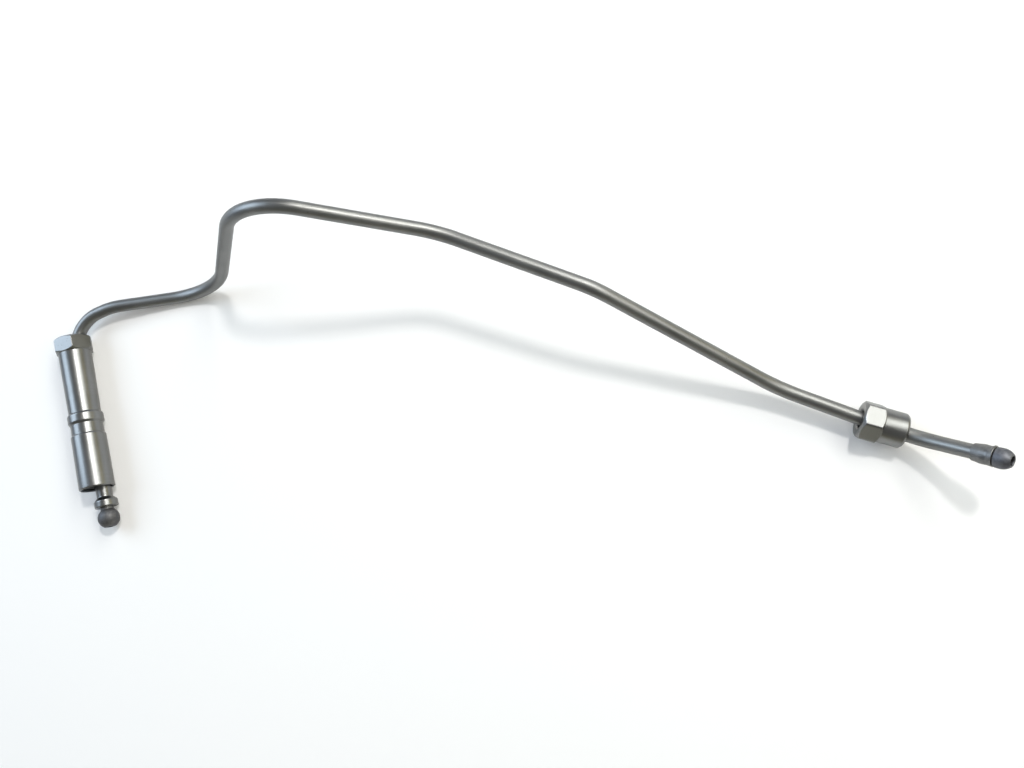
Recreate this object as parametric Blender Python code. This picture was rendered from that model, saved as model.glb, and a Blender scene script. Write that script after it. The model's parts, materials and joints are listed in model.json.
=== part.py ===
"""High-pressure injector pipe: one bent steel tube, two sleeves and two loose union nuts.

Lengths below are millimetres. The object lies on the plane z = 0, as it would on a bench.
"""

import math

import bmesh
import bpy
from mathutils import Matrix, Vector

MM = 0.001

TUBE_DIA = 6.35
TUBE_BORE = 2.0
TUBE_SIDES = 20
BEND_STEP = 7.5
LATHE_SIDES = 48

# Corners of the tube's centreline, from the ball end to the nose, each with its bend radius.
# The first corner gives only the direction of the ball end's straight, whose length follows the long nut.
ROUTE = (
    ((-188.15, -69.3, 6.0), 0.0),
    ((-217.3, 35.9, 7.4), 17.5),
    ((-195.7, 44.7, 7.0), 40.0),
    ((-138.7, 52.3, 0.6), 39.5),
    ((-89.0, 68.6, 86.9), 31.0),
    ((-8.3, 59.4, 54.7), 50.0),
    ((59.4, 32.7, 48.7), 38.0),
    ((138.3, -6.7, 10.6), 52.0),
    ((192.7, -28.7, 8.6), 38.5),
    ((223.4, -41.25, 34.6), 0.0),
)
BALL_REACH = 28.1

# The ball that is upset on one end of the tube.
BALL_DIA = 10.4
BALL_CENTRE = 4.5
BALL_NECK = 3.3
BALL_STEPS = 9
UPSET_BLEND = 0.3

# The nose that is upset on the other end: distance from its tip, radius.
NOSE_PROFILE = ((0.0, 2.3), (0.3, 2.8), (1.2, 3.55), (2.2, 4.05), (3.4, 4.3), (5.95, 4.3), (6.3, 4.1))
NOSE_MOUTH = 1.9
MOUTH_DEPTH = 2.0

# Sleeve on the ball end: a barrel that thickens into the nut, with a collar next to the neck.
SLEEVE_GAP = 0.25
GLAND_SLEEVE_WALL = 0.3
GLAND_SLEEVE_END_WALL = 0.6
GLAND_SLEEVE_LENGTH = 24.0
GLAND_SLEEVE_START = 10.2
COLLAR_DIA = 11.2
COLLAR_LENGTH = 5.0
COLLAR_SHOULDER = 1.8
COLLAR_CHAMFER = 0.3

# Sleeve behind the nose: distance from the nose's tip, wall thickness.
NOSE_SLEEVE_PROFILE = (
    (6.75, 0.8),
    (6.95, 1.1),
    (7.65, 1.2),
    (8.0, 0.9),
    (9.0, 0.7),
    (11.0, 0.75),
    (13.2, 0.5),
    (15.2, 0.25),
)

# Both nuts: how far the end face stands in from the flats, the slope at which the corners are turned off,
# and how far the planing of the flats runs past the hexagon.
HEX_FACE_STEP = 0.4
HEX_CHAMFER = 30.0
HEX_RUNOUT = 0.8

# Long gland nut: its hexagon lies on one flat, its axis level.
GLAND_FLATS = 17.0
GLAND_HEX = 8.0
GLAND_LENGTH = 80.4
GLAND_BARREL_DIA = 15.8
GLAND_WAIST_DIA = 15.2
GLAND_SKIRT_DIA = 16.5
GLAND_FLARE_DIA = 16.9
GLAND_SKIRT_CHAMFER = 0.4
GLAND_RING_DIA = 17.0
GLAND_RING_START = 41.2
GLAND_RING_LENGTH = 5.5
GLAND_RING_ROUND = 1.0
GLAND_GROOVE_DIA = 15.4
GLAND_GROOVE_LENGTH = 5.9
GLAND_CLEARANCE = 2.225
GLAND_LEAD = 1.8
GLAND_MOUTH_DIA = 14.8
GLAND_MOUTH_DEPTH = 36.0
GLAND_SHOULDER = 2.0
GLAND_RIM = 0.2
GLAND_END = (-215.85, 28.2)
GLAND_HEADING = -75.3

# Short union nut: it stands on an edge of its hexagon, leaning on the tube.
UNION_FLATS = 16.0
UNION_HEX = 8.9
UNION_LENGTH = 19.4
UNION_SKIRT_DIA = 15.6
UNION_ROUND = 1.0
UNION_CLEARANCE = 1.025
UNION_LEAD = 0.8
UNION_BORE_LENGTH = 7.0
UNION_SHOULDER = 1.4
UNION_MOUTH_DIA = 12.8
UNION_RIM = 0.4
UNION_CENTRE = 40.1
UNION_LIFT = -0.15
UNION_HEADING = -17.5
UNION_SLOPE = -3.5
UNION_ROLL = -12.5

SHARP_ANGLE = 35.0
STEEL = (0.36, 0.36, 0.35)
DARK_STEEL = (0.17, 0.175, 0.18)


def clear_scene():
    for thing in list(bpy.data.objects):
        bpy.data.objects.remove(thing, do_unlink=True)


def metal(name, colour, roughness):
    material = bpy.data.materials.new(name)
    material.use_nodes = True
    shader = material.node_tree.nodes["Principled BSDF"]
    shader.inputs["Base Color"].default_value = (*colour, 1.0)
    shader.inputs["Metallic"].default_value = 1.0
    shader.inputs["Roughness"].default_value = roughness
    material.diffuse_color = (*colour, 1.0)
    return material


def shade(mesh):
    mesh.shade_smooth()
    mesh.set_sharp_from_angle(angle=math.radians(SHARP_ANGLE))


def add_object(name, bm, material, matrix=None):
    bmesh.ops.recalc_face_normals(bm, faces=bm.faces)
    mesh = bpy.data.meshes.new(name)
    bm.to_mesh(mesh)
    bm.free()
    mesh.materials.append(material)
    shade(mesh)
    thing = bpy.data.objects.new(name, mesh)
    if matrix is not None:
        thing.matrix_world = matrix
    bpy.context.scene.collection.objects.link(thing)
    return thing


def axis_frame(origin, axis, roll=0.0):
    """Placement with local Z along axis, local X level, turned by roll about the axis."""
    z = axis.normalized()
    x = Vector((0.0, 0.0, 1.0)).cross(z).normalized()
    y = z.cross(x)
    turned = Matrix((x, y, z)).transposed() @ Matrix.Rotation(math.radians(roll), 3, "Z")
    return Matrix.Translation(origin) @ turned.to_4x4()


def heading_vector(heading, slope=0.0):
    heading, slope = math.radians(heading), math.radians(slope)
    return Vector(
        (math.cos(heading) * math.cos(slope), math.sin(heading) * math.cos(slope), math.sin(slope))
    )


def bend_points(before, corner, after, radius):
    """Points along the arc that rounds one corner, with their tangents."""
    leaving = (after - corner).normalized()
    coming = (corner - before).normalized()
    turn = coming.angle(leaving)
    setback = radius * math.tan(turn / 2)
    start = corner - coming * setback
    axis = coming.cross(leaving).normalized()
    to_start = coming.cross(axis).normalized() * radius
    centre = start - to_start
    steps = max(2, math.ceil(math.degrees(turn) / BEND_STEP))
    arc = []
    for step in range(steps + 1):
        rotation = Matrix.Rotation(turn * step / steps, 3, axis)
        arc.append((centre + rotation @ to_start, rotation @ coming))
    return arc


def route_corners():
    corners = [Vector(place) * MM for place, _ in ROUTE]
    straight = (corners[0] - corners[1]).normalized()
    corners[0] = corners[1] + straight * (GLAND_LENGTH + BALL_REACH) * MM
    return corners


def tube_bends():
    corners = route_corners()
    path = []
    for index in range(1, len(corners) - 1):
        radius = ROUTE[index][1] * MM
        path += bend_points(corners[index - 1], corners[index], corners[index + 1], radius)
    return corners, path


def along_end(corner, inward, profile):
    """Stations of a turned end: distance from the tip, radius."""
    direction = (inward - corner).normalized()
    return [(corner + direction * distance * MM, direction, radius * MM) for distance, radius in profile]


def ball_profile():
    half = BALL_DIA / 2
    first = -math.asin(BALL_CENTRE / half)
    last = math.acos(BALL_NECK / half)
    profile = []
    for step in range(BALL_STEPS + 1):
        angle = first + (last - first) * step / BALL_STEPS
        profile.append((BALL_CENTRE + half * math.sin(angle), half * math.cos(angle)))
    reach = profile[-1][0]
    return profile + [(reach + UPSET_BLEND, TUBE_DIA / 2)]


def add_rings(bm, stations):
    """One ring of vertices per station, carried along the path without twist."""
    rings = []
    across = None
    for place, tangent, radius in stations:
        if across is None:
            across = tangent.orthogonal()
        across = (across - tangent * across.dot(tangent)).normalized()
        other = tangent.cross(across)
        ring = []
        for side in range(TUBE_SIDES):
            angle = 2 * math.pi * side / TUBE_SIDES
            offset = across * math.cos(angle) + other * math.sin(angle)
            ring.append(bm.verts.new(place + offset * radius))
        rings.append(ring)
    return rings


def skin(bm, rings):
    for first, second in zip(rings, rings[1:]):
        for side in range(len(first)):
            after = (side + 1) % len(first)
            bm.faces.new((first[side], first[after], second[after], second[side]))


def build_tube(material):
    corners, bends = tube_bends()
    head = along_end(corners[0], corners[1], ball_profile())
    neck = NOSE_PROFILE[-1][0] + UPSET_BLEND
    nose = along_end(corners[-1], corners[-2], NOSE_PROFILE + ((neck, TUBE_DIA / 2),))
    nose = [(place, -direction, radius) for place, direction, radius in reversed(nose)]
    outer = head + [(place, tangent, TUBE_DIA / 2 * MM) for place, tangent in bends] + nose

    bore = TUBE_BORE / 2
    mouth = along_end(corners[-1], corners[-2], ((0.0, NOSE_MOUTH), (MOUTH_DEPTH, bore)))
    mouth = [(place, -direction, radius) for place, direction, radius in reversed(mouth)]
    entry = along_end(corners[0], corners[1], ((0.0, bore),))
    inner = entry + [(place, tangent, bore * MM) for place, tangent in bends] + mouth

    bm = bmesh.new()
    outside = add_rings(bm, outer)
    inside = add_rings(bm, inner)
    skin(bm, outside)
    skin(bm, inside)
    skin(bm, [outside[0], inside[0]])
    skin(bm, [outside[-1], inside[-1]])
    return add_object("pipe", bm, material)


def turned_ring(profile, sides=LATHE_SIDES):
    """A closed profile of (height, radius), turned about local Z."""
    bm = bmesh.new()
    rings = []
    for height, radius in profile:
        ring = []
        for side in range(sides):
            angle = 2 * math.pi * side / sides
            ring.append(
                bm.verts.new((radius * MM * math.cos(angle), radius * MM * math.sin(angle), height * MM))
            )
        rings.append(ring)
    skin(bm, rings + rings[:1])
    return bm


def across_corners(flats):
    """Distance from a hexagon's axis to its corners."""
    return flats / 2 / math.cos(math.pi / 6)


def cut_hexagon(thing, flats, start, end):
    """Planes the six flats between two heights along the piece's axis."""
    corner = across_corners(flats)
    profile = ((start, corner), (end, corner), (end, corner * 2), (start, corner * 2))
    cutter = add_object(thing.name + "_flats", turned_ring(profile, 6), thing.data.materials[0])
    cutter.matrix_world = thing.matrix_world.copy()
    planing = thing.modifiers.new("flats", "BOOLEAN")
    planing.operation = "DIFFERENCE"
    planing.solver = "EXACT"
    planing.object = cutter
    graph = bpy.context.evaluated_depsgraph_get()
    planed = bpy.data.meshes.new_from_object(thing.evaluated_get(graph))
    thing.modifiers.remove(planing)
    bpy.data.objects.remove(cutter, do_unlink=True)
    thing.data = planed
    shade(planed)


def chamfered_hexagon(flats, length, barrel):
    """Outer profile of a hexagon head whose corners are turned off at both ends."""
    blank = across_corners(flats) + HEX_FACE_STEP
    rise = math.tan(math.radians(HEX_CHAMFER))
    face = flats / 2 - HEX_FACE_STEP
    edge = (flats / 2 + barrel) / 2
    return (
        (0.0, face),
        ((blank - face) * rise, blank),
        (length - (blank - edge) * rise, blank),
        (length, edge),
        (length, barrel),
    )


def build_gland_nut(material):
    barrel, waist, groove = GLAND_BARREL_DIA / 2, GLAND_WAIST_DIA / 2, GLAND_GROOVE_DIA / 2
    skirt, flare = GLAND_SKIRT_DIA / 2, GLAND_FLARE_DIA / 2
    bore, mouth = TUBE_DIA / 2 + GLAND_CLEARANCE, GLAND_MOUTH_DIA / 2
    ring, soft = GLAND_RING_DIA / 2, GLAND_RING_ROUND
    start, end = GLAND_RING_START, GLAND_RING_START + GLAND_RING_LENGTH
    groove_end = end + GLAND_GROOVE_LENGTH
    shoulder = GLAND_LENGTH - GLAND_MOUTH_DEPTH
    profile = chamfered_hexagon(GLAND_FLATS, GLAND_HEX, barrel) + (
        (start, waist),
        (start + 0.3 * soft, ring - 0.35 * soft),
        (start + soft, ring),
        (end - soft, ring),
        (end - 0.3 * soft, ring - 0.35 * soft),
        (end, groove),
        (groove_end - GLAND_SKIRT_CHAMFER, groove),
        (groove_end, skirt - GLAND_SKIRT_CHAMFER / 2),
        (groove_end + GLAND_SKIRT_CHAMFER, skirt),
        (GLAND_LENGTH - GLAND_SKIRT_CHAMFER, flare),
        (GLAND_LENGTH, flare - GLAND_SKIRT_CHAMFER),
        (GLAND_LENGTH, mouth + GLAND_RIM),
        (GLAND_LENGTH - GLAND_RIM, mouth),
        (shoulder, mouth),
        (shoulder - GLAND_SHOULDER, bore),
        (GLAND_LEAD, bore),
        (0.0, bore + GLAND_LEAD),
    )
    place = Vector((*GLAND_END, GLAND_FLATS / 2)) * MM
    placement = axis_frame(place, heading_vector(GLAND_HEADING))
    nut = add_object("gland_nut", turned_ring(profile), material, placement)
    cut_hexagon(nut, GLAND_FLATS, -HEX_RUNOUT, GLAND_HEX + HEX_RUNOUT)
    return nut


def build_gland_sleeve(material):
    tip, inward = route_corners()[:2]
    bore, collar = TUBE_DIA / 2 + SLEEVE_GAP, COLLAR_DIA / 2
    barrel, end = bore + GLAND_SLEEVE_WALL, bore + GLAND_SLEEVE_END_WALL
    profile = (
        (0.0, bore),
        (0.0, collar - COLLAR_CHAMFER),
        (COLLAR_CHAMFER, collar),
        (COLLAR_LENGTH - COLLAR_SHOULDER, collar),
        (COLLAR_LENGTH - COLLAR_SHOULDER / 2, (collar + barrel) / 2 + COLLAR_CHAMFER),
        (COLLAR_LENGTH, barrel),
        ((COLLAR_LENGTH + GLAND_SLEEVE_LENGTH) / 2, end),
        (GLAND_SLEEVE_LENGTH, end),
        (GLAND_SLEEVE_LENGTH, bore),
    )
    axis = (inward - tip).normalized()
    place = tip + axis * GLAND_SLEEVE_START * MM
    return add_object("gland_sleeve", turned_ring(profile), material, axis_frame(place, axis))


def build_nose_sleeve(material):
    inward, tip = route_corners()[-2:]
    bore = TUBE_DIA / 2 + SLEEVE_GAP
    outer = [(height, bore + wall) for height, wall in NOSE_SLEEVE_PROFILE]
    profile = [(outer[0][0], bore)] + outer + [(outer[-1][0], bore)]
    axis = (inward - tip).normalized()
    return add_object("nose_sleeve", turned_ring(profile), material, axis_frame(tip, axis))


def build_union_nut(material):
    skirt, mouth = UNION_SKIRT_DIA / 2, UNION_MOUTH_DIA / 2
    bore, soft = TUBE_DIA / 2 + UNION_CLEARANCE, UNION_ROUND
    profile = chamfered_hexagon(UNION_FLATS, UNION_HEX, skirt) + (
        (UNION_LENGTH - soft, skirt),
        (UNION_LENGTH - 0.3 * soft, skirt - 0.35 * soft),
        (UNION_LENGTH, skirt - 0.8 * soft),
        (UNION_LENGTH, mouth + UNION_RIM),
        (UNION_LENGTH - UNION_RIM, mouth),
        (UNION_BORE_LENGTH + UNION_SHOULDER, mouth),
        (UNION_BORE_LENGTH, bore),
        (UNION_LEAD, bore),
        (0.0, bore + UNION_LEAD),
    )
    near, far = route_corners()[-3:-1]
    axis = heading_vector(UNION_HEADING, UNION_SLOPE)
    middle = near + (far - near).normalized() * UNION_CENTRE * MM
    place = middle + Vector((0.0, 0.0, UNION_LIFT)) * MM - axis * UNION_BORE_LENGTH / 2 * MM
    nut = add_object("union_nut", turned_ring(profile), material, axis_frame(place, axis, UNION_ROLL))
    cut_hexagon(nut, UNION_FLATS, -HEX_RUNOUT, UNION_HEX + HEX_RUNOUT)
    return nut


clear_scene()
bpy.context.scene.unit_settings.system = "METRIC"
bright = metal("plated_steel", STEEL, 0.3)
dull = metal("bare_steel", DARK_STEEL, 0.5)
build_tube(metal("tube_steel", STEEL, 0.35))
build_gland_sleeve(bright)
build_nose_sleeve(dull)
build_gland_nut(bright)
build_union_nut(bright)
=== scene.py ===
# Injector pipe: the looks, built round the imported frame.
# Lengths in the dictionaries are millimetres, and the meshes are made in metres.
import json
import math

import bmesh
import bpy
from mathutils import Matrix, Vector, noise


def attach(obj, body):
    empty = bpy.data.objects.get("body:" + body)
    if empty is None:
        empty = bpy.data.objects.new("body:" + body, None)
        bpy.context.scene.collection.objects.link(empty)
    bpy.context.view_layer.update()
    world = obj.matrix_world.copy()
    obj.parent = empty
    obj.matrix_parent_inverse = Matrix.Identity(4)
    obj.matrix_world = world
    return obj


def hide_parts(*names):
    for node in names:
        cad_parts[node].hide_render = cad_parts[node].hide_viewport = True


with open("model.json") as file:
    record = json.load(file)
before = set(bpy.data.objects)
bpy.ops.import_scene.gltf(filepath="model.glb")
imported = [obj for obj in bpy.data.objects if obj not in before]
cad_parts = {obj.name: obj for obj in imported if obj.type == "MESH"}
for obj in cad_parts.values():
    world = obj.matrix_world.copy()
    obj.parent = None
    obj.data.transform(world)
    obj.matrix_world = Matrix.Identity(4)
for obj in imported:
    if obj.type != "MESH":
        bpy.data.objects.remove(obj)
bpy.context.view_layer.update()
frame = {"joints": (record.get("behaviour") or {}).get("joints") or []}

mm = 0.001
fullTurn = 2 * math.pi
scene = bpy.context.scene


# Small helpers for shapes.

def smoothLeast(a, b, blend):  # the smaller of two values, rounded where they cross
    share = min(max(0.5 + 0.5 * (b - a) / blend, 0.0), 1.0)
    return b + (a - b) * share - blend * share * (1 - share)


def smoothMost(a, b, blend):
    return -smoothLeast(-a, -b, blend)


def steps(start, end, count):
    return [start + (end - start) * index / count for index in range(count + 1)]


def rounded(corners, segments=5, hold=0.12):
    # Closed profile from (height, radius, fillet) corners. A point beside each arc keeps the flat straight.
    points = []
    for index, (height, radius, fillet) in enumerate(corners):
        corner = Vector((height, radius))
        before = Vector(corners[index - 1][:2]) - corner
        after = Vector(corners[(index + 1) % len(corners)][:2]) - corner
        if fillet <= 0:
            points.append((height, radius))
            continue
        room = 0.45 * min(before.length, after.length)  # an arc takes less than half of each side
        before.normalize()
        after.normalize()
        half = before.angle(after) / 2
        reach = min(fillet / math.tan(half), room)
        arc = reach * math.tan(half)
        centre = corner + (before + after).normalized() * arc / math.sin(half)
        first = corner + before * reach - centre
        last = corner + after * reach - centre
        sweep = math.pi - 2 * half
        points.append(tuple(centre + first + before * min(hold, reach)))
        for share in steps(0.0, 1.0, segments):
            spoke = first * math.sin((1 - share) * sweep) + last * math.sin(share * sweep)
            points.append(tuple(centre + spoke.normalized() * arc))
        points.append(tuple(centre + last + after * min(hold, reach)))
    return points


def splineThrough(points, perSpan):
    # Smooth curve through a list of (height, radius) points.
    ends = [points[0]] + list(points) + [points[-1]]
    curve = []
    for index in range(len(points) - 1):
        a, b, c, d = (Vector(point) for point in ends[index:index + 4])
        for step in range(perSpan):
            t = step / perSpan
            curve.append(tuple(0.5 * (2 * b + (c - a) * t + (2 * a - 5 * b + 4 * c - d) * t ** 2
                                      + (3 * b - a - 3 * c + d) * t ** 3)))
    return curve + [tuple(points[-1])]


def axisFrame(origin, axis, roll=0.0):
    # Local Z along the axis and local X level, then turned by roll degrees, as in the frame's own nuts.
    along = Vector(axis).normalized()
    level = Vector((0, 0, 1)).cross(along).normalized()
    basis = Matrix((level, along.cross(level), along)).transposed()
    turned = basis @ Matrix.Rotation(math.radians(roll), 3, "Z")
    return Matrix.Translation(origin) @ turned.to_4x4()


def closeStrip(bm, rings, loop=False):
    # Faces between neighbouring rings, and from the last ring back to the first for a loop.
    pairs = list(zip(rings, rings[1:]))
    if loop:
        pairs.append((rings[-1], rings[0]))
    for first, second in pairs:
        for side in range(len(first)):
            after = (side + 1) % len(first)
            bm.faces.new((first[side], first[after], second[after], second[side]))


def finishMesh(name, bm, materials, placement=None, sharpAngle=38):
    bmesh.ops.recalc_face_normals(bm, faces=bm.faces)
    mesh = bpy.data.meshes.new(name)
    bm.to_mesh(mesh)
    bm.free()
    mesh.shade_smooth()
    mesh.set_sharp_from_angle(angle=math.radians(sharpAngle))
    for material in materials:
        mesh.materials.append(material)
    piece = bpy.data.objects.new(name, mesh)
    scene.collection.objects.link(piece)
    if placement:
        piece.matrix_world = placement
    return piece


def turnedPiece(name, profile, angles, material, placement, radiusAt=None):
    # Turns a closed (height, radius) profile about local Z. radiusAt may reshape each point.
    bm = bmesh.new()
    rings = []
    for index, (height, radius) in enumerate(profile):
        ring = []
        for angle in angles:
            reach = radiusAt(index, angle, height, radius) if radiusAt else radius
            ring.append(bm.verts.new((reach * mm * math.cos(angle), reach * mm * math.sin(angle), height * mm)))
        rings.append(ring)
    closeStrip(bm, rings, loop=True)
    return finishMesh(name, bm, [material], placement)


def seat(piece, body, node):
    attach(piece, body)
    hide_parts(node)
    print(piece.name, "faces", len(piece.data.polygons))


# Shared finishes, as node groups.

def startGroup(name, inputs, outputs):
    tree = bpy.data.node_groups.new(name, "ShaderNodeTree")
    for label, kind, value in inputs:
        socket = tree.interface.new_socket(name=label, in_out="INPUT", socket_type="NodeSocket" + kind)
        if value is not None:
            socket.default_value = value
    for label, kind in outputs:
        tree.interface.new_socket(name=label, in_out="OUTPUT", socket_type="NodeSocket" + kind)
    return tree, tree.nodes.new("NodeGroupInput"), tree.nodes.new("NodeGroupOutput")


def feed(tree, socket, value):
    if isinstance(value, bpy.types.NodeSocket):
        tree.links.new(value, socket)
    else:
        socket.default_value = value


def addNode(tree, kind, settings=None, **inputs):
    # Keyword names are socket names, or s and the socket's number. A value is a plain one or another socket.
    node = tree.nodes.new("ShaderNode" + kind)
    for key, value in (settings or {}).items():
        setattr(node, key, value)
    for key, value in inputs.items():
        feed(tree, node.inputs[int(key[1:])] if key[1:].isdigit() else node.inputs[key], value)
    return node


def mathNode(tree, operation, first, second=0.0):
    return addNode(tree, "Math", {"operation": operation}, s0=first, s1=second).outputs[0]


def times(tree, first, second):
    return mathNode(tree, "MULTIPLY", first, second)


def ramp(tree, value, low, high, outLow=0.0, outHigh=1.0):
    node = addNode(tree, "MapRange", {"interpolation_type": "SMOOTHSTEP"}, Value=value)
    for label, edge in (("From Min", low), ("From Max", high), ("To Min", outLow), ("To Max", outHigh)):
        feed(tree, node.inputs[label], edge)
    return node.outputs[0]


def mixColour(tree, share, first, second):  # sockets 6 and 7 are the two colours, and 2 is their mix
    return addNode(tree, "Mix", {"data_type": "RGBA"}, Factor=share, s6=first, s7=second).outputs[2]


def makeStreakGrain():
    # Fine lines left by a die or a lathe tool, drawn out by an uneven scale on each axis.
    tree, given, result = startGroup(
        "streakGrain",
        [("Vector", "Vector", None), ("Scale", "Vector", (1, 1, 1)), ("Wander", "Float", 0.2)],
        [("Height", "Float"), ("Band", "Float")])
    spread = addNode(tree, "VectorMath", {"operation": "MULTIPLY"}, s0=given.outputs["Vector"],
                     s1=given.outputs["Scale"]).outputs[0]
    fine = addNode(tree, "TexNoise", Vector=spread, Scale=1.0, Detail=5.0, Roughness=0.6,
                   Distortion=given.outputs["Wander"]).outputs[0]
    broadScale, bandEdges = 0.17, (0.38, 0.62)
    broad = addNode(tree, "TexNoise", Vector=spread, Scale=broadScale, Detail=2.0, Roughness=0.5).outputs[0]
    tree.links.new(fine, result.inputs["Height"])
    tree.links.new(ramp(tree, broad, *bandEdges), result.inputs["Band"])
    return tree


def makeMottle():
    # Soft uneven patches, as handling and oil leave on bare steel.
    tree, given, result = startGroup(
        "mottle",
        [("Vector", "Vector", None), ("Scale", "Float", 60.0), ("Contrast", "Float", 0.15)],
        [("Mask", "Float"), ("Fine", "Float")])
    patch = addNode(tree, "TexNoise", Vector=given.outputs["Vector"], Scale=given.outputs["Scale"],
                    Detail=4.0, Roughness=0.55, Distortion=0.4).outputs[0]
    middle, gritPerPatch = 0.5, 9.0
    low = mathNode(tree, "SUBTRACT", middle, given.outputs["Contrast"])
    high = mathNode(tree, "ADD", middle, given.outputs["Contrast"])
    finer = times(tree, given.outputs["Scale"], gritPerPatch)
    grit = addNode(tree, "TexNoise", Vector=given.outputs["Vector"], Scale=finer, Detail=3.0).outputs[0]
    tree.links.new(ramp(tree, patch, low, high), result.inputs["Mask"])
    tree.links.new(grit, result.inputs["Fine"])
    return tree


def makeEdgeWearAndHollowShade():
    # Bright rubbed corners, and painted shade that darkens the hollows, both from the mesh's own curvature.
    tree, given, result = startGroup(
        "edgeWearAndHollowShade",
        [("Vector", "Vector", None), ("Breakup", "Float", 900.0), ("Start", "Float", 0.53)],
        [("Worn", "Float"), ("HollowShade", "Float")])
    raggedness, fade, hollowShadeEdges = 0.06, 0.06, (0.47, 0.42)
    point = addNode(tree, "NewGeometry").outputs["Pointiness"]
    ragged = addNode(tree, "TexNoise", Vector=given.outputs["Vector"], Scale=given.outputs["Breakup"],
                     Detail=4.0).outputs[0]
    shift = times(tree, mathNode(tree, "SUBTRACT", ragged, 0.5), raggedness)
    full = mathNode(tree, "ADD", given.outputs["Start"], fade)
    worn = ramp(tree, mathNode(tree, "ADD", point, shift), given.outputs["Start"], full)
    tree.links.new(worn, result.inputs["Worn"])
    # The hollow mask is painted shade where the surface curves inwards.
    tree.links.new(ramp(tree, point, *hollowShadeEdges), result.inputs["HollowShade"])
    return tree


def makeScuffs():
    # Sparse thin scratches at two slants, and small pits.
    tree, given, result = startGroup(
        "scuffs",
        [("Vector", "Vector", None), ("Scale", "Float", 700.0), ("Amount", "Float", 0.5)],
        [("Scratch", "Float"), ("Pit", "Float")])
    lineEdges, pitEdges = (0.012, 0.002), (0.2, 0.08)
    patchScale, scratchedPatch, pittedPatch = 120.0, (0.5, 0.62), (0.56, 0.66)
    slants = [(0.6, (1.0, 0.09, 0.25)), (-0.9, (0.3, 1.0, 0.08))]  # turn, and how the noise is drawn out
    lines = []
    for slant, squeeze in slants:
        turned = addNode(tree, "Mapping", Vector=given.outputs["Vector"],
                         Rotation=(slant, slant * 0.5, slant * 1.7), Scale=squeeze)
        crack = addNode(tree, "TexNoise", Vector=turned.outputs[0], Scale=given.outputs["Scale"],
                        Detail=2.0, Distortion=0.3).outputs[0]
        near = mathNode(tree, "ABSOLUTE", mathNode(tree, "SUBTRACT", crack, 0.5))
        lines.append(ramp(tree, near, *lineEdges))
    here = addNode(tree, "TexNoise", Vector=given.outputs["Vector"], Scale=patchScale, Detail=2.0).outputs[0]
    both = mathNode(tree, "MAXIMUM", *lines)
    shown = times(tree, times(tree, both, ramp(tree, here, *scratchedPatch)), given.outputs["Amount"])
    cells = addNode(tree, "TexVoronoi", Vector=given.outputs["Vector"], Scale=given.outputs["Scale"]).outputs[0]
    pits = times(tree, ramp(tree, cells, *pitEdges), ramp(tree, here, *pittedPatch))
    tree.links.new(shown, result.inputs["Scratch"])
    tree.links.new(pits, result.inputs["Pit"])
    return tree


finishGroups = {
    "streakGrain": makeStreakGrain(),
    "mottle": makeMottle(),
    "edgeWearAndHollowShade": makeEdgeWearAndHollowShade(),
    "scuffs": makeScuffs(),
}
print("finish groups ready:", len(finishGroups))


def useGroup(tree, name, **inputs):
    node = tree.nodes.new("ShaderNodeGroup")
    node.node_tree = finishGroups[name]
    for label, value in inputs.items():
        feed(tree, node.inputs[label], value)
    return node


def startMetal(name):
    material = bpy.data.materials.new(name)
    material.use_nodes = True
    shader = material.node_tree.nodes["Principled BSDF"]
    shader.inputs["Metallic"].default_value = 1.0
    return material, material.node_tree, shader


def bumpChain(tree, shader, layers):
    # Each layer is (height socket, depth in mm); they add up in one normal.
    normal = None
    for height, depth in layers:
        bump = addNode(tree, "Bump", Strength=1.0, Distance=depth * mm, Height=height)
        if normal:
            tree.links.new(normal, bump.inputs["Normal"])
        normal = bump.outputs[0]
    tree.links.new(normal, shader.inputs["Normal"])


# What every steel here shares. Depths are in mm.

steelSurface = {
    "grainEdges": (0.3, 0.7),
    "contrast": 0.2,
    "breakup": 1100.0,
    "scuffScale": 650.0,
    "wornShare": 0.6,
    # How far the painted shade in the hollows darkens them.
    "hollowShadeShare": 0.7,
    "pitShare": 0.5,
    "scratchRough": 0.12,
    "roughest": 0.9,
    "handledDepth": 0.0012,
    "scratchDepth": 0.004,
}


def smudgedRoughness(tree, look, grain, patch):
    rough = ramp(tree, grain.outputs["Height"], *steelSurface["grainEdges"], look["smooth"], look["rough"])
    return mathNode(tree, "ADD", rough, times(tree, patch.outputs["Mask"], look["smudge"]))


def scratchLayer(tree, scuff):
    return times(tree, scuff.outputs["Scratch"], -1.0), steelSurface["scratchDepth"]


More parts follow.
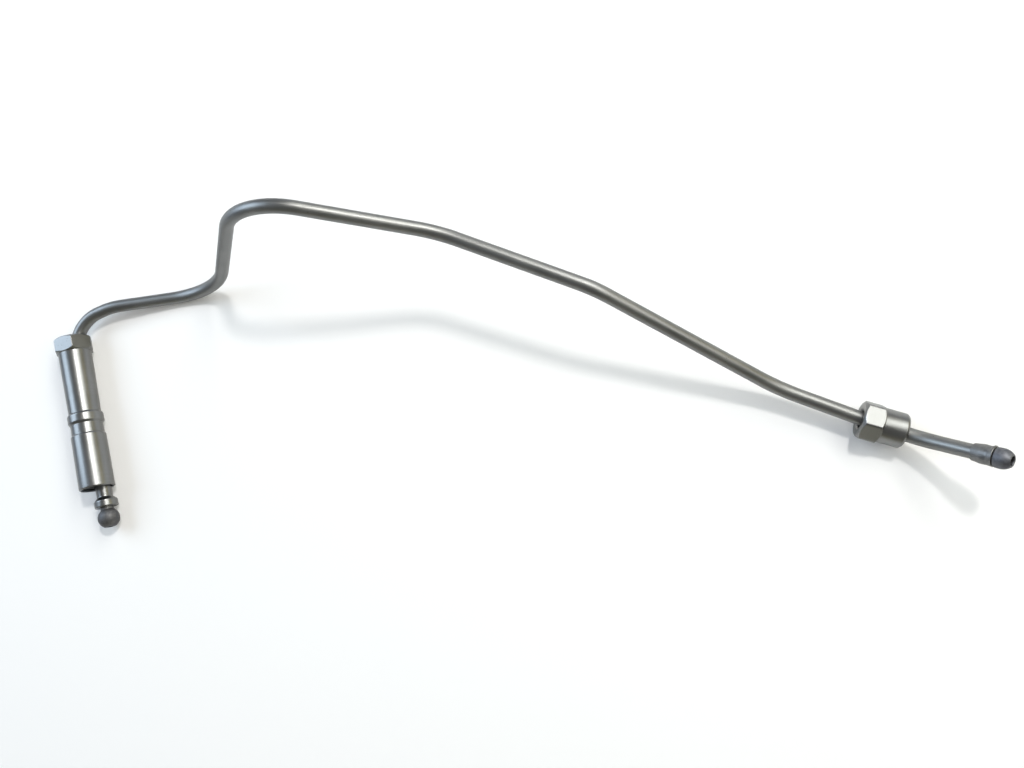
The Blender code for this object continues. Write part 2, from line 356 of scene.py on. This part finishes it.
def makeTurnedSteel(name, look):
    material, tree, shader = startMetal(name)
    surface = steelSurface
    here = addNode(tree, "TexCoord").outputs["Object"]
    grain = useGroup(tree, "streakGrain", Vector=here, Scale=look["grain"], Wander=0.15)
    patch = useGroup(tree, "mottle", Vector=here, Scale=look["patch"], Contrast=surface["contrast"])
    wearAndShade = useGroup(tree, "edgeWearAndHollowShade", Vector=here, Breakup=surface["breakup"], Start=look["wearStart"])
    scuff = useGroup(tree, "scuffs", Vector=here, Scale=surface["scuffScale"], Amount=look["scuff"])
    colour = mixColour(tree, patch.outputs["Mask"], look["dull"], look["clean"])
    # Patches, streaks, worn edges, painted shade in the hollows and real pits, each mixed in turn.
    for mask, share, over in (
            (grain.outputs["Band"], look["streak"], look["dull"]),
            (wearAndShade.outputs["Worn"], surface["wornShare"], look["bright"]),
            (wearAndShade.outputs["HollowShade"], surface["hollowShadeShare"], look["grimeAndHollowShade"]),
            (scuff.outputs["Pit"], surface["pitShare"], look["grimeAndHollowShade"])):
        colour = mixColour(tree, times(tree, mask, share), colour, over)
    tree.links.new(colour, shader.inputs["Base Color"])
    smudged = smudgedRoughness(tree, look, grain, patch)
    scraped = mathNode(tree, "ADD", smudged, times(tree, scuff.outputs["Scratch"], surface["scratchRough"]))
    tree.links.new(mathNode(tree, "MINIMUM", scraped, surface["roughest"]), shader.inputs["Roughness"])
    bumpChain(tree, shader, [
        (grain.outputs["Height"], look["grainDepth"]),
        (patch.outputs["Fine"], surface["handledDepth"]),
        scratchLayer(tree, scuff),
    ])
    return material


nutLook = {
    "grain": (60, 60, 5200),
    "patch": 45.0,
    "clean": (0.26, 0.262, 0.262, 1),
    "dull": (0.225, 0.226, 0.222, 1),
    "bright": (0.42, 0.42, 0.41, 1),
    # Dark colour of the real pits, also used as painted shade in the hollows.
    "grimeAndHollowShade": (0.06, 0.055, 0.05, 1),
    "streak": 0.35,
    "wearStart": 0.53,
    "scuff": 0.5,
    "smooth": 0.29,
    "rough": 0.33,
    "smudge": 0.04,
    "grainDepth": 0.0008,
}
nutSteel = makeTurnedSteel("platedSteel", nutLook)


def makeTubeSteel(name, look, length):
    # Drawn steel. The "lay" attribute holds each point as if the tube were straight, and the other attribute
    # paints shade into the bore, near black, fading out just at the nose's mouth.
    material, tree, shader = startMetal(name)
    lay = addNode(tree, "Attribute", {"attribute_name": "lay"}).outputs["Vector"]
    mouthShade = addNode(tree, "Attribute", {"attribute_name": "mouthShade"}).outputs["Fac"]
    along = addNode(tree, "SeparateXYZ", Vector=lay).outputs[2]
    grain = useGroup(tree, "streakGrain", Vector=lay, Scale=look["grain"], Wander=0.1)
    patch = useGroup(tree, "mottle", Vector=lay, Scale=look["patch"], Contrast=look["contrast"])
    scuff = useGroup(tree, "scuffs", Vector=lay, Scale=look["scuffScale"], Amount=look["scuff"])
    ball = ramp(tree, along, look["ballEnd"] * mm, (look["ballEnd"] - look["fade"]) * mm)
    nose = ramp(tree, along, length - (look["noseStart"] + look["fade"]) * mm, length - look["noseStart"] * mm)
    scale = ramp(tree, patch.outputs["Fine"], *look["scaleEdges"])
    colour = mixColour(tree, patch.outputs["Mask"], look["dull"], look["clean"])
    colour = mixColour(tree, times(tree, grain.outputs["Band"], look["streak"]), colour, look["dull"])
    colour = mixColour(tree, times(tree, scuff.outputs["Pit"], look["pitShare"]), colour, look["stain"])
    colour = mixColour(tree, ball, colour, mixColour(tree, scale, look["ballDark"], look["ballLight"]))
    colour = mixColour(tree, nose, colour, mixColour(tree, scale, look["noseDark"], look["noseLight"]))
    # Painted shade: the bore turns near black, fading out at the nose's tip.
    tree.links.new(mixColour(tree, mouthShade, colour, look["mouthShade"]), shader.inputs["Base Color"])
    rough = smudgedRoughness(tree, look, grain, patch)
    for end, extra in ((ball, look["ballRough"]), (nose, look["noseRough"])):
        rough = mathNode(tree, "ADD", rough, times(tree, end, extra))
    tree.links.new(mathNode(tree, "MINIMUM", rough, steelSurface["roughest"]), shader.inputs["Roughness"])
    cast = times(tree, patch.outputs["Fine"], mathNode(tree, "ADD", ball, look["castElsewhere"]))
    bumpChain(tree, shader, [
        (grain.outputs["Height"], look["grainDepth"]),
        (cast, look["castDepth"]),
        scratchLayer(tree, scuff),
    ])
    return material


tubeLook = {
    "grain": (2600, 2600, 26),
    "patch": 60.0,
    "clean": (0.26, 0.26, 0.252, 1),
    "dull": (0.215, 0.216, 0.212, 1),
    "stain": (0.07, 0.062, 0.05, 1),
    # Near-black painted shade inside the bore.
    "mouthShade": (0.008, 0.007, 0.006, 1),
    "ballDark": (0.13, 0.13, 0.135, 1),
    "ballLight": (0.18, 0.178, 0.18, 1),
    "noseDark": (0.14, 0.144, 0.16, 1),
    "noseLight": (0.19, 0.194, 0.212, 1),
    "streak": 0.4,
    "scuff": 0.5,
    "smooth": 0.38,
    "rough": 0.45,
    "smudge": 0.05,
    "ballRough": 0.18,
    "noseRough": 0.16,
    "grainDepth": 0.001,
    "contrast": 0.18,
    "scuffScale": 600.0,
    "pitShare": 0.55,
    "scaleEdges": (0.35, 0.65),
    "castDepth": 0.03,
    "castElsewhere": 0.08,
    "ballEnd": 10.5,
    "noseStart": 7.0,
    "fade": 2.0,
}


# The tube: one swept skin outside, one inside, joined at both tips.

tube = {
    "outer": 6.35,
    "bore": 2.0,
    "sides": 48,
    "bendStep": 2.5,  # degrees
    "runStep": 7.0,
    # A cold bend gets thinner in its own plane and wider across it, and the more the further it turns.
    "flatten": 0.018,
    "widen": 0.04,
    "fullBend": 45.0,
    "ballDia": 10.4,
    "ballCentre": 4.5,
    "ballBlend": 0.5,
    "ballTurn": 38.0,
    "ballNeckEnd": 9.2,
    "tipFlat": 2.2,
    "tipRound": 0.18,
    "boreLip": 0.25,
    "sweptStart": 10.0,
    # (distance from the nose's tip, radius): its crown, its back, and the mouth in it.
    "nose": [(0.0, 2.5), (0.25, 2.85), (1.2, 3.55), (2.2, 4.02), (3.4, 4.29), (4.8, 4.31), (5.85, 4.27)],
    "noseBack": [(6.15, 4.2), (6.38, 4.06), (6.52, 3.8), (6.64, 3.45), (7.0, 3.175)],
    "mouth": [(3.2, 1.0), (2.1, 1.05), (2.0, 1.75), (0.6, 1.98), (0.15, 2.1), (0.0, 2.25)],
    # How far into the nose's mouth the painted shade fades in, in mm.
    "mouthShadeDepth": 0.9,
    # Corners of the centreline from the ball end to the nose, each with its bend radius.
    "route": [
        ((-188.33, -68.65, 6.01), 0.0),
        ((-217.3, 35.9, 7.4), 17.5),
        ((-195.7, 44.7, 7.0), 40.0),
        ((-138.7, 52.3, 0.6), 39.5),
        ((-89.0, 68.6, 86.9), 31.0),
        ((-8.3, 59.4, 54.7), 50.0),
        ((59.4, 32.7, 48.7), 38.0),
        ((138.3, -6.7, 10.6), 52.0),
        ((192.7, -28.7, 8.6), 38.5),
        ((223.4, -41.25, 34.6), 0.0),
    ],
}


def tubePath():
    # Stations along the tube: (point, tangent, unit vector in the bend's plane, squeeze from 0 to 1).
    corners = [Vector(place) * mm for place, _ in tube["route"]]
    stations = [(corners[0], (corners[1] - corners[0]).normalized(), None, 0.0)]
    for index in range(1, len(corners) - 1):
        coming = (corners[index] - corners[index - 1]).normalized()
        leaving = (corners[index + 1] - corners[index]).normalized()
        turn = coming.angle(leaving)
        radius = tube["route"][index][1] * mm
        start = corners[index] - coming * radius * math.tan(turn / 2)
        axis = coming.cross(leaving).normalized()
        spoke = coming.cross(axis) * radius
        stations += straightRun(stations[-1][0], start, coming)
        count = max(4, math.ceil(math.degrees(turn) / tube["bendStep"]))
        for step in range(count + 1):
            share = step / count
            turned = Matrix.Rotation(turn * share, 3, axis)
            squeeze = min(1.0, 5 * share, 5 * (1 - share)) * min(1.0, math.degrees(turn) / tube["fullBend"])
            outward = turned @ spoke
            stations.append((start - spoke + outward, turned @ coming, outward.normalized(), squeeze))
    last = (corners[-1] - corners[-2]).normalized()
    stations += straightRun(stations[-1][0], corners[-1], last)
    stations.append((corners[-1], last, None, 0.0))
    return stations


def straightRun(start, end, direction):
    count = int((end - start).length / (tube["runStep"] * mm))
    return [(start.lerp(end, step / (count + 1)), direction, None, 0.0) for step in range(1, count + 1)]


def pathPoint(stations, distances, distance):
    # Point and tangent near one of the straight ends.
    if distance < distances[-1] / 2:
        point, tangent = stations[0][:2]
        return point + tangent * distance, tangent
    point, tangent = stations[-1][:2]
    return point - tangent * (distances[-1] - distance), tangent


def ballRadius(distance):
    half = tube["ballDia"] / 2
    offset = distance - tube["ballCentre"]
    reach = math.sqrt(max(half ** 2 - offset ** 2, 0.0))
    if offset < 0:
        return reach
    return smoothMost(reach, tube["outer"] / 2, tube["ballBlend"])


def outsideStations(stations, distances, length):
    # (distance along the path, radius, bend vector, squeeze), from the ball's tip to the nose's tip.
    half = tube["ballDia"] / 2
    found = [(0.0, tube["tipFlat"]), (0.03, tube["tipFlat"] + tube["tipRound"])]
    first = math.asin((0.12 - tube["ballCentre"]) / half)
    turns = steps(first, math.radians(tube["ballTurn"]), 16)
    heights = [tube["ballCentre"] + half * math.sin(turn) for turn in turns]
    heights += steps(heights[-1] + 0.25, tube["ballNeckEnd"], 9)
    found += [(distance, ballRadius(distance)) for distance in heights]
    head = [(distance * mm, radius, None, 0.0) for distance, radius in found]
    noseLine = splineThrough(tube["nose"], 5) + tube["noseBack"]
    back = noseLine[-1][0] + 0.4
    tail = [(length - distance * mm, radius, None, 0.0) for distance, radius in reversed(noseLine)]
    middle = [
        (distance, tube["outer"] / 2, bend, squeeze)
        for (_, _, bend, squeeze), distance in zip(stations, distances)
        if tube["sweptStart"] * mm < distance < length - back * mm
    ]
    return head + middle + tail


def insideStations(distances, length):
    bore = tube["bore"] / 2
    found = [(0.0, bore + tube["boreLip"]), (0.3 * mm, bore)]
    found += [(distance, bore) for distance in distances if 3 * mm < distance < length - 5 * mm]
    found += [(length - distance * mm, radius) for distance, radius in tube["mouth"]]
    return [(distance, radius, None, 0.0) for distance, radius in found]


def buildTube(material, stations, distances):
    length = distances[-1]
    lookup = {distance: station for station, distance in zip(stations, distances)}
    bm = bmesh.new()
    lay = bm.verts.layers.float_vector.new("lay")
    mouthShade = bm.verts.layers.float.new("mouthShade")
    mouthShadeDepth = tube["mouthShadeDepth"] * mm

    def sweep(rows, inner=False):
        rings = []
        across = None
        for distance, radius, bend, squeeze in rows:
            if distance in lookup and 0 < distance < length:
                point, tangent = lookup[distance][:2]
            else:
                point, tangent = pathPoint(stations, distances, distance)
            across = tangent.orthogonal() if across is None else across
            across = (across - tangent * across.dot(tangent)).normalized()
            other = tangent.cross(across)
            ring = []
            for side in range(tube["sides"]):
                angle = fullTurn * side / tube["sides"]
                spoke = across * math.cos(angle) + other * math.sin(angle)
                reach = radius * mm
                if bend:
                    inPlane = spoke.dot(bend) ** 2
                    reach *= 1 + squeeze * (tube["widen"] * (1 - inPlane) - tube["flatten"] * inPlane)
                vertex = bm.verts.new(point + spoke * reach)
                vertex[lay] = (reach * math.cos(angle), reach * math.sin(angle), distance)
                # Painted shade in the bore: none at the nose's tip, full a little way in.
                vertex[mouthShade] = min(max(length - distance, 0.0) / mouthShadeDepth, 1.0) if inner else 0.0
                ring.append(vertex)
            rings.append(ring)
        return rings

    outer = sweep(outsideStations(stations, distances, length))
    inner = sweep(insideStations(distances, length), inner=True)
    closeStrip(bm, outer)
    closeStrip(bm, inner)
    closeStrip(bm, [outer[0], inner[0]])
    closeStrip(bm, [outer[-1], inner[-1]])
    return finishMesh("tube", bm, [material], sharpAngle=50)


pathStations = tubePath()
pathDistances = [0.0]
for first, second in zip(pathStations, pathStations[1:]):
    pathDistances.append(pathDistances[-1] + (second[0] - first[0]).length)
tubeSteel = makeTubeSteel("tubeSteel", tubeLook, pathDistances[-1])
seat(buildTube(tubeSteel, pathStations, pathDistances), "pipe", "pipe")


# Shapes that both nuts share.

def nutAngles():
    # Closer together at the hexagon's corners, which lie at 0, 60, 120 degrees and so on.
    half = [0.0, 0.45, 0.9, 1.4, 2.0, 2.8, 3.9, 5.5, 7.8, 10.8, 14.5, 19.0, 24.5, 30.0]
    sector = half + [60 - angle for angle in reversed(half[1:-1])]
    return [math.radians(turn * 60 + angle) for turn in range(6) for angle in sector]


def hexRadius(angle, flats, soften):
    # Reach of the nearest flat and of the next one, rounded where they meet.
    inSector = math.degrees(angle) % 60
    near = flats / 2 / math.cos(math.radians(inSector - 30))
    beyond = 90 - inSector if inSector > 30 else -30 - inSector
    far = flats / 2 / math.cos(math.radians(min(abs(beyond), 80)))
    return smoothLeast(near, far, soften)


def hexHead(nut):
    # Outer stations of the hexagon: (height, turned radius), with its corners turned off at both ends.
    # Offsets of a few hundredths hold each edge crisp when it is shaded smooth.
    top, flat, barrel, fillet = nut["hex"], nut["flats"] / 2, nut["barrel"] / 2, nut["rootFillet"]
    blank = nut["flats"] / math.sqrt(3) + nut["blankExtra"]
    rise = math.tan(math.radians(nut["chamfer"]))
    face = flat - nut["faceStep"]
    low = (blank - face) * rise
    high = top - (blank - flat) * rise
    points = [(0.0, face - 0.35), (0.0, face - 0.12), (0.03, face - 0.03)]
    points += [(height, face + height / rise) for height in steps(0.08, low, 16)]
    points += [(height, blank) for height in steps(low + 0.12, high - 0.12, 6)]
    points += [(height, blank - (height - high) / rise) for height in steps(high, top - 0.06, 16)]
    points += [(top - 0.01, flat - 0.06), (top, flat - 0.2), (top, barrel + fillet + 0.1)]
    points += [
        (top + fillet * (1 - math.cos(turn)), barrel + fillet * (1 - math.sin(turn)))
        for turn in steps(0.0, math.pi / 2, 5)
    ]
    return points


def threadRows(nut):
    # Heights inside the mouth, ten to a turn of the thread.
    count = int(nut["threadLength"] / nut["pitch"] * 10)
    return steps(nut["length"], nut["length"] - nut["threadLength"], count)


def threadRadius(nut, angle, height):
    flank, crest = 2.6, 0.15  # how steep the flanks are, and how broad the crest between them
    phase = (height / nut["pitch"] - angle / fullTurn) % 1.0
    wave = min(max(flank * abs(phase - 0.5) - crest, 0.0), 1.0)
    deep = nut["length"] - nut["threadLength"]
    fade = min(max((height - deep) / nut["pitch"], 0.0), 1.0)
    grooved = nut["mouth"] / 2 + nut["threadDepth"] * wave * fade
    lead = nut["mouth"] / 2 + nut["rim"] - (nut["length"] - height)
    return max(grooved, lead)


def buildNut(name, nut, outline, inner, material, placement):
    # outline runs from the hexagon to the mouth's end face, inner from the thread's bottom to the bore.
    head = hexHead(nut)
    thread = [(height, nut["mouth"] / 2) for height in threadRows(nut)]
    threadStart = len(head) + len(outline)
    face = nut["flats"] / 2 - nut["faceStep"]

    def radiusAt(index, angle, height, radius):
        if index < len(head) and radius > face - 0.01:
            return smoothLeast(hexRadius(angle, nut["flats"], nut["soften"]), radius, nut["soften"])
        if threadStart <= index < threadStart + len(thread):
            return threadRadius(nut, angle, height)
        return radius

    return turnedPiece(name, head + outline + thread + inner, nutAngles(), material, placement, radiusAt)


def openProfile(corners, segments=5):
    # A rounded stretch of outline whose first and last corners only guide it.
    loop = rounded([corners[0][:2] + (0,)] + list(corners[1:-1]) + [corners[-1][:2] + (0,)], segments)
    return loop[1:-1]


def jointAxis(name):
    for joint in frame["joints"]:
        if joint["name"] == name:
            return Vector(joint["pos_m"]), Vector(joint["axis"])


# The long union nut of the ball end.

glandNut = {
    "flats": 17.0,
    "hex": 8.0,
    "length": 80.4,
    "barrel": 15.8,
    "waist": 15.2,
    "skirt": 16.5,
    "flare": 16.9,
    "groove": 15.4,
    "ring": 17.0,
    "ringStart": 41.2,
    "ringEnd": 46.7,
    "ringRound": 0.9,
    "ringFoot": 0.55,
    "grooveEnd": 52.6,
    "skirtChamfer": 0.35,
    "mouth": 14.8,
    "mouthDepth": 36.0,
    "bore": 11.0,
    "boreLead": 1.8,
    "shoulder": 2.0,
    "rim": 0.25,
    "blankExtra": 0.0,
    "chamfer": 38,
    "faceStep": 0.5,
    "rootFillet": 0.3,
    "soften": 0.16,
    "pitch": 1.5,
    "threadLength": 13.5,
    "threadDepth": 0.42,
}


def buildGlandNut(material):
    nut = glandNut
    barrel, waist, groove, ring, skirt, flare, mouth, bore = (
        nut[key] / 2 for key in ("barrel", "waist", "groove", "ring", "skirt", "flare", "mouth", "bore"))
    start, end, bulge, foot = nut["ringStart"], nut["ringEnd"], nut["ringRound"], nut["ringFoot"]
    grooveEnd, chamfer, length = nut["grooveEnd"], nut["skirtChamfer"], nut["length"]
    outline = openProfile([
        (nut["hex"] + 0.6, barrel, 0),
        (start - 0.15, waist, 0.2),
        (start, ring - foot, 0.25),
        (start + bulge, ring, bulge),
        (end - bulge, ring, bulge),
        (end, ring - foot, 0.25),
        (end + 0.15, groove, 0.25),
        (grooveEnd - chamfer, groove, 0.3),
        (grooveEnd, skirt - 0.2, 0.15),
        (grooveEnd + chamfer, skirt, 0.3),
        (length - 0.5, flare, 0.45),
        (length, flare - 0.4, 0.12),
        (length, mouth + nut["rim"], 0),
    ])
    shoulder = length - nut["mouthDepth"]
    inner = openProfile([
        (length - nut["threadLength"] - 0.5, mouth, 0),
        (shoulder, mouth, 0.5),
        (shoulder - nut["shoulder"], bore, 0.5),
        (nut["boreLead"], bore, 0.4),
        (0.15, bore + nut["boreLead"] - 0.15, 0.1),
        (0.0, nut["flats"] / 2 - nut["faceStep"] - 0.4, 0),
    ])
    placement = axisFrame(*jointAxis("gland_nut_spin"))
    return buildNut("glandNut", nut, outline, inner, material, placement)


seat(buildGlandNut(nutSteel), "gland_nut", "gland_nut")


# The short union nut of the nose end.

unionNut = {
    "flats": 16.0,
    "hex": 8.9,
    "length": 19.4,
    "barrel": 15.6,
    "mouth": 12.8,
    "boreLength": 7.0,
    "bore": 8.4,
    "boreLead": 0.8,
    "shoulder": 1.4,
    "roll": -12.5,
    "skirtRound": 0.9,
    "rim": 0.4,
    "blankExtra": -0.2,
    "chamfer": 38,
    "faceStep": 0.6,
    "rootFillet": 0.2,
    "soften": 0.2,
    "pitch": 1.5,
    "threadLength": 9.0,
    "threadDepth": 0.5,
}


def buildUnionNut(material):
    nut = unionNut
    skirt, mouth, bore = (nut[key] / 2 for key in ("barrel", "mouth", "bore"))
    length = nut["length"]
    outline = openProfile([
        (nut["hex"] + 0.6, skirt, 0),
        (length - nut["skirtRound"], skirt, nut["skirtRound"]),
        (length, skirt - 0.75, 0.3),
        (length, mouth + nut["rim"], 0),
    ])
    inner = openProfile([
        (length - nut["threadLength"] - 0.3, mouth, 0),
        (nut["boreLength"] + nut["shoulder"], mouth, 0.4),
        (nut["boreLength"], bore, 0.4),
        (nut["boreLead"], bore, 0.3),
        (0.1, bore + nut["boreLead"] - 0.1, 0.1),
        (0.0, nut["flats"] / 2 - nut["faceStep"] - 0.4, 0),
    ])
    origin, axis = jointAxis("union_nut_spin")
    return buildNut("unionNut", nut, outline, inner, material, axisFrame(origin, axis, nut["roll"]))


seat(buildUnionNut(nutSteel), "union_nut", "union_nut")


# The sleeve with a collar, on the ball end.

glandSleeve = {
    "bore": 6.85,
    "barrel": 7.45,
    "end": 8.05,
    "length": 24.0,
    "start": 10.2,
    "collar": 11.2,
    "collarLength": 5.0,
    "collarChamfer": 0.3,
    "collarShoulder": 1.8,
    "sides": 96,
}


def roundAngles(sides):
    return [fullTurn * side / sides for side in range(sides)]


def endOfTube(tipIndex, nextIndex):
    # A tip of the tube, and the direction from it along the tube.
    tip, inward = (Vector(tube["route"][index][0]) * mm for index in (tipIndex, nextIndex))
    return tip, (inward - tip).normalized()


def buildGlandSleeve(material):
    sleeve = glandSleeve
    bore, barrel, end, collar = (sleeve[key] / 2 for key in ("bore", "barrel", "end", "collar"))
    length, collarLength, chamfer = sleeve["length"], sleeve["collarLength"], sleeve["collarChamfer"]
    profile = rounded([
        (0.0, bore, 0.05),
        (0.0, collar - chamfer, 0.1),
        (chamfer, collar, 0.3),
        (collarLength - sleeve["collarShoulder"], collar, 0.9),
        (collarLength, barrel, 1.0),
        ((collarLength + length) / 2, end, 2.0),
        (length, end, 0.12),
        (length, bore, 0.05),
    ])
    tip, axis = endOfTube(0, 1)
    placement = axisFrame(tip + axis * sleeve["start"] * mm, axis)
    return turnedPiece("glandSleeve", profile, roundAngles(sleeve["sides"]), material, placement)


seat(buildGlandSleeve(nutSteel), "pipe", "gland_sleeve")


# The rough sleeve behind the nose.

noseSleeve = {
    "bore": 6.85,
    "sides": 120,
    "outline": [(6.75, 4.2), (6.95, 4.5), (7.5, 4.58), (7.95, 4.34), (9.0, 4.12),
                (11.0, 4.17), (13.2, 3.93), (14.9, 3.72), (15.2, 3.62)],
    # The rim is worn low on one side: where along the sleeve, how much, and how far to each side of that.
    "rimAt": 7.4,
    "rimWear": 0.36,
    "rimReach": 0.9,
    "lump": 0.05,
    "lumpScale": 0.55,
    "grit": 0.022,
    "gritScale": 2.7,
}

bareLook = {
    "grain": (300, 300, 900),
    "patch": 260.0,
    "clean": (0.24, 0.242, 0.24, 1),
    "dull": (0.17, 0.17, 0.17, 1),
    "bright": (0.4, 0.385, 0.35, 1),
    # Dark colour of the real pits, also used as painted shade in the hollows.
    "grimeAndHollowShade": (0.05, 0.047, 0.043, 1),
    "streak": 0.5,
    "wearStart": 0.52,
    "scuff": 0.3,
    "smooth": 0.38,
    "rough": 0.5,
    "smudge": 0.06,
    "grainDepth": 0.015,
}


def buildNoseSleeve(material):
    sleeve = noseSleeve
    bore = sleeve["bore"] / 2
    outer = splineThrough(sleeve["outline"], 7)
    profile = [(outer[0][0], bore)] + outer + [(outer[-1][0], bore)]

    def radiusAt(index, angle, height, radius):
        if radius <= bore:
            return radius
        place = Vector((radius * math.cos(angle), radius * math.sin(angle), height))
        lump = noise.noise(place * sleeve["lumpScale"]) * sleeve["lump"]
        grit = noise.noise(place * sleeve["gritScale"]) * sleeve["grit"]
        side = 0.5 + 0.5 * math.cos(angle)
        worn = sleeve["rimWear"] * side * max(1 - abs(height - sleeve["rimAt"]) / sleeve["rimReach"], 0.0)
        return radius + lump + grit - worn

    angles = roundAngles(sleeve["sides"])
    return turnedPiece("noseSleeve", profile, angles, material, axisFrame(*endOfTube(-1, -2)), radiusAt)


bareSteel = makeTurnedSteel("bareSteel", bareLook)
seat(buildNoseSleeve(bareSteel), "pipe", "nose_sleeve")


# Floor, light and camera.

studio = {
    "floorColour": (0.83, 0.82, 0.81, 1),
    "floorMottle": 0.995,
    "floorSize": 8.0,
    "floorDrop": 0.00005,
    "paperLift": 0.12,
    # Each lamp is (name, place, direction of its long side, size, watts, colour). Its lengths are
    # metres, and it faces the origin.
    "lamps": [
        ("keyLamp", (0.73, 0.60, 0.97), (-0.36, 0.89, -0.28), (0.44, 2.0), 13.2, (0.985, 1.0, 0.945)),
        ("fillLamp", (-1.1, 0.38, 0.8), (0.0, 1.0, 0.0), (0.82, 0.95), 11.0, (0.68, 0.83, 1.0)),
        ("topLamp", (0.33, 0.5, 1.02), (1.0, 0.0, 0.0), (0.12, 0.12), 5.6, (1.0, 0.99, 0.97)),
        ("warmLamp", (1.25, 0.35, 0.42), (0.0, 1.0, 0.0), (0.35, 0.8), 1.0, (1.0, 0.86, 0.4)),
    ],
    # The room behind the lamps: cooler at the far left, warmer at the near right, darker overhead.
    "zenith": (0.2, 0.2, 0.195, 1),
    "coolSide": (0.34, 0.38, 0.48, 1),
    "warmSide": (0.4, 0.38, 0.25, 1),
    "sideReach": (-0.5, 0.5),
    "horizonHeight": (0.05, 0.5),
    "cameraPlace": (0.0825, -0.0607, 0.4029),
    "cameraTurn": (8.44, 9.42),  # degrees about x and y, from straight down
    "lens": 30.0,
}


def buildFloor():
    material = bpy.data.materials.new("paper")
    material.use_nodes = True
    tree = material.node_tree
    shader = tree.nodes["Principled BSDF"]
    tone = useGroup(tree, "mottle", Vector=addNode(tree, "TexCoord").outputs["Object"], Scale=3.0, Contrast=0.4)
    shade = tuple(studio["floorMottle"] * value for value in studio["floorColour"][:3]) + (1,)
    colour = mixColour(tree, tone.outputs["Mask"], studio["floorColour"], shade)
    tree.links.new(colour, shader.inputs["Base Color"])
    shader.inputs["Roughness"].default_value = 0.9
    shader.inputs["Specular IOR Level"].default_value = 0.0
    # The camera sees the paper lifted a little towards white. The lift lights nothing.
    seen = addNode(tree, "LightPath").outputs["Is Camera Ray"]
    tree.links.new(times(tree, seen, studio["paperLift"]), shader.inputs["Emission Strength"])
    shader.inputs["Emission Color"].default_value = (1, 1, 1, 1)
    bm = bmesh.new()
    bmesh.ops.create_grid(bm, x_segments=8, y_segments=8, size=studio["floorSize"])
    floor = finishMesh("floor", bm, [material], Matrix.Translation((0, 0, -studio["floorDrop"])))


def buildLamp(name, place, longSide, size, power, colour):
    lamp = bpy.data.lights.new(name, "AREA")
    lamp.shape = "RECTANGLE"
    lamp.size, lamp.size_y = size
    lamp.energy = power
    lamp.color = colour
    back = Vector(place).normalized()
    across = Vector(longSide).cross(back).normalized()
    basis = Matrix((across, back.cross(across), back)).transposed()
    thing = bpy.data.objects.new(name, lamp)
    thing.matrix_world = Matrix.Translation(place) @ basis.to_4x4()
    scene.collection.objects.link(thing)


def buildWorld():
    world = bpy.data.worlds.new("room")
    scene.world = world
    world.use_nodes = True
    tree = world.node_tree
    direction = addNode(tree, "TexCoord").outputs["Generated"]
    across, away, up = addNode(tree, "SeparateXYZ", Vector=direction).outputs
    side = ramp(tree, mathNode(tree, "SUBTRACT", across, away), *studio["sideReach"])
    horizon = mixColour(tree, side, studio["coolSide"], studio["warmSide"])
    colour = mixColour(tree, ramp(tree, up, *studio["horizonHeight"]), horizon, studio["zenith"])
    tree.links.new(colour, tree.nodes["Background"].inputs["Color"])


def buildCamera():
    camera = bpy.data.cameras.new("camera")
    camera.lens = studio["lens"]
    camera.sensor_width = 36.0
    camera.clip_start = 0.01
    thing = bpy.data.objects.new("camera", camera)
    thing.location = studio["cameraPlace"]
    thing.rotation_euler = (*(math.radians(turn) for turn in studio["cameraTurn"]), 0.0)
    scene.collection.objects.link(thing)
    scene.camera = thing


buildFloor()
for lampValues in studio["lamps"]:
    buildLamp(*lampValues)
buildWorld()
buildCamera()
scene.view_settings.view_transform = "Standard"
print("studio ready")
